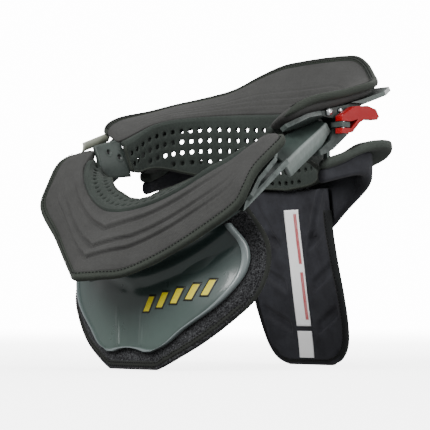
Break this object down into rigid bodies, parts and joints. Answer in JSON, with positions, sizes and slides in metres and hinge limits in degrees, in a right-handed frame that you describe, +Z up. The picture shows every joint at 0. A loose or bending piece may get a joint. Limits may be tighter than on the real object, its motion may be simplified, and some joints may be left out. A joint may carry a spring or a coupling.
{
  "type": "motocross neck brace",
  "caption": "Adult motocross neck brace: padded front and rear collar tables round a perforated neck opening, a chest plate, a back strut and a side latch with a red lever.",
  "frame": {"origin": "on the ground, under the middle of the standing brace's box", "axes": "+X the wearer's left, +Y the wearer's back, +Z up"},
  "size_m": [0.2526, 0.2734, 0.2552],
  "materials": {
    "foam_charcoal": "warm charcoal moulded foam with a fine fabric face",
    "hem_fabric": "dark greenish woven hem",
    "liner_foam": "perforated dark green-grey padding",
    "frame_plastic": "greenish-grey satin plastic",
    "link_plastic": "light grey satin plastic",
    "shell_plastic": "grey-green glossy plastic",
    "felt_black": "near-black felt",
    "foam_black": "near-black moulded foam",
    "chrome": "polished",
    "red_plastic": "glossy red",
    "yellow_ink": "yellow with a dark outline",
    "white_tape": "white printed tape, left blank"
  },
  "bodies": {
    "rear": {"rear_table_pad": "foam_charcoal", "rear_table_hem": "hem_fabric", "rear_liner": "liner_foam", "rear_frame": "frame_plastic", "hinge_link": "frame_plastic", "hinge_pin": "chrome", "rivet_large": "chrome", "rivet_small": "chrome", "lever_pin": "chrome", "back_pad": "foam_black", "wing_rim": "hem_fabric", "long_patch": "white_tape", "short_patch": "white_tape"},
    "front": {"front_table_pad": "foam_charcoal", "front_table_hem": "hem_fabric", "front_liner": "liner_foam", "front_frame": "frame_plastic", "latch_link": "link_plastic", "chest_plate": "shell_plastic", "chest_mark_1": "yellow_ink", "chest_mark_2": "yellow_ink", "chest_mark_3": "yellow_ink", "chest_mark_4": "yellow_ink", "chest_mark_5": "yellow_ink", "chest_pad": "felt_black"},
    "lever": {"release_lever": "red_plastic"}
  },
  "joints": [
    {"name": "front_swing", "type": "hinge", "parent": "rear", "child": "front", "pos_m": [-0.106, -0.03195, 0.14917], "axis": [0, 0.6018, -0.7986], "range_deg": [0, 60]},
    {"name": "lever_swing", "type": "hinge", "parent": "rear", "child": "lever", "pos_m": [0.1145, 0.03043, 0.187], "axis": [0, 0, -1], "range_deg": [0, 75]}
  ]
}
